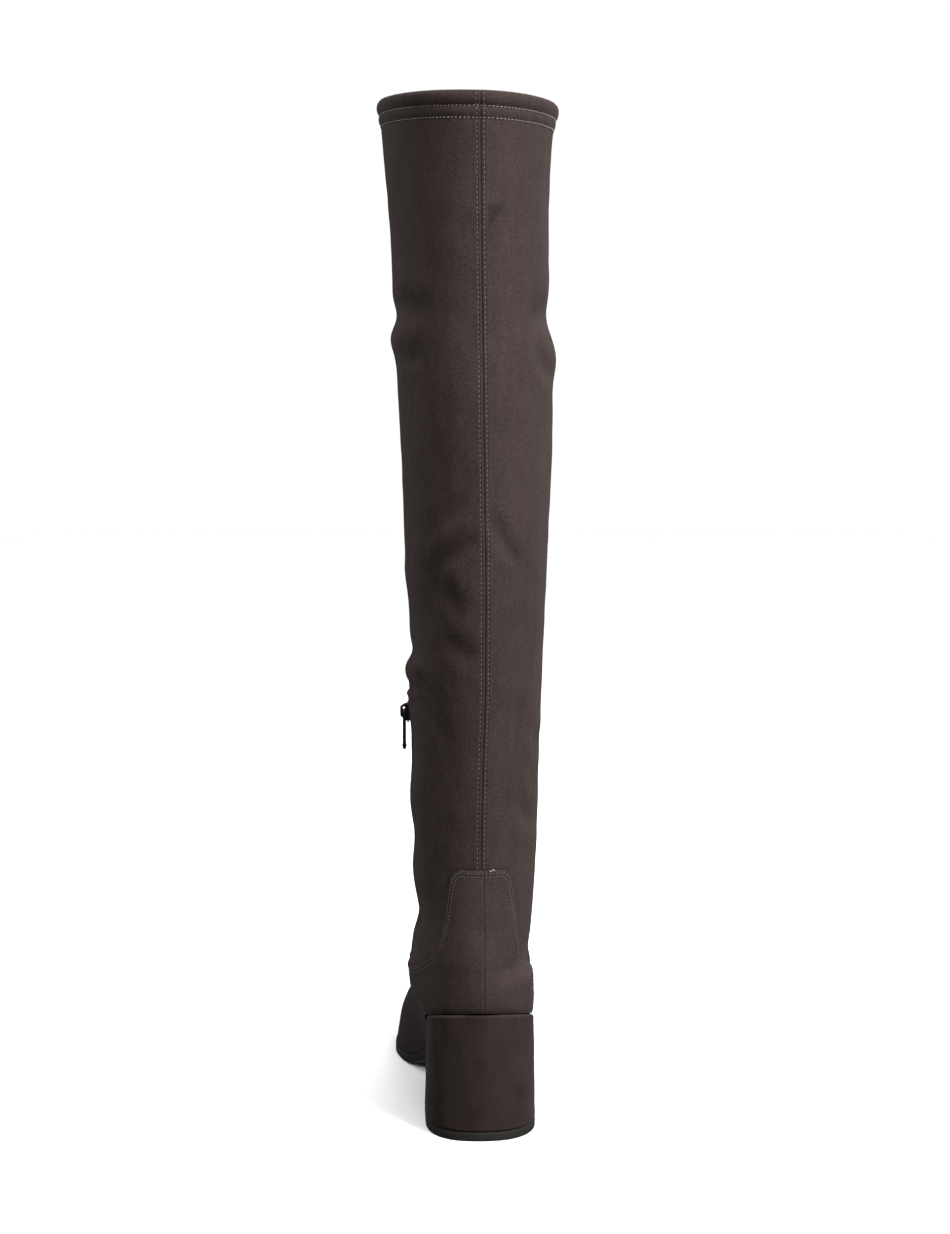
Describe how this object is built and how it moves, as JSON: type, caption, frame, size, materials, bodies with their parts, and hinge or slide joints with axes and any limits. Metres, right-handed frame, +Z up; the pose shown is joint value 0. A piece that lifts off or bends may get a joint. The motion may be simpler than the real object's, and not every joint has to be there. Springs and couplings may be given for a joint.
{
  "type": "thigh high boot",
  "caption": "Right thigh high stretch boot in faux suede with a covered block heel, back seam, stitched hem and a short inner zip with a swinging pull tab.",
  "frame": {"origin": "on the floor, in the underside of the heel's top piece, below the middle of the heel", "axes": "+Z up, +Y towards the toe, +X towards the outer side of the right foot"},
  "size_m": [0.1021, 0.2467, 0.5836],
  "materials": {
    "suede": "matt brushed nap",
    "lining": "matt",
    "black_rubber": "satin",
    "zip_cloth": "woven, matt",
    "black_metal": "black nickel, polished"
  },
  "bodies": {
    "boot": {"foot_upper": "suede", "shaft": "suede", "insole": "lining", "outsole": "black_rubber", "heel_block": "suede", "heel_top_piece": "black_rubber", "zip_tape": "zip_cloth", "zip_chain": "zip_cloth", "zip_slider": "black_metal"},
    "pull": {"zip_pull": "black_metal"}
  },
  "joints": [
    {"name": "pull_swing", "type": "hinge", "parent": "boot", "child": "pull", "pos_m": [-0.04209, 0.03004, 0.232], "axis": [0, 1, 0], "range_deg": [0, 150]}
  ]
}
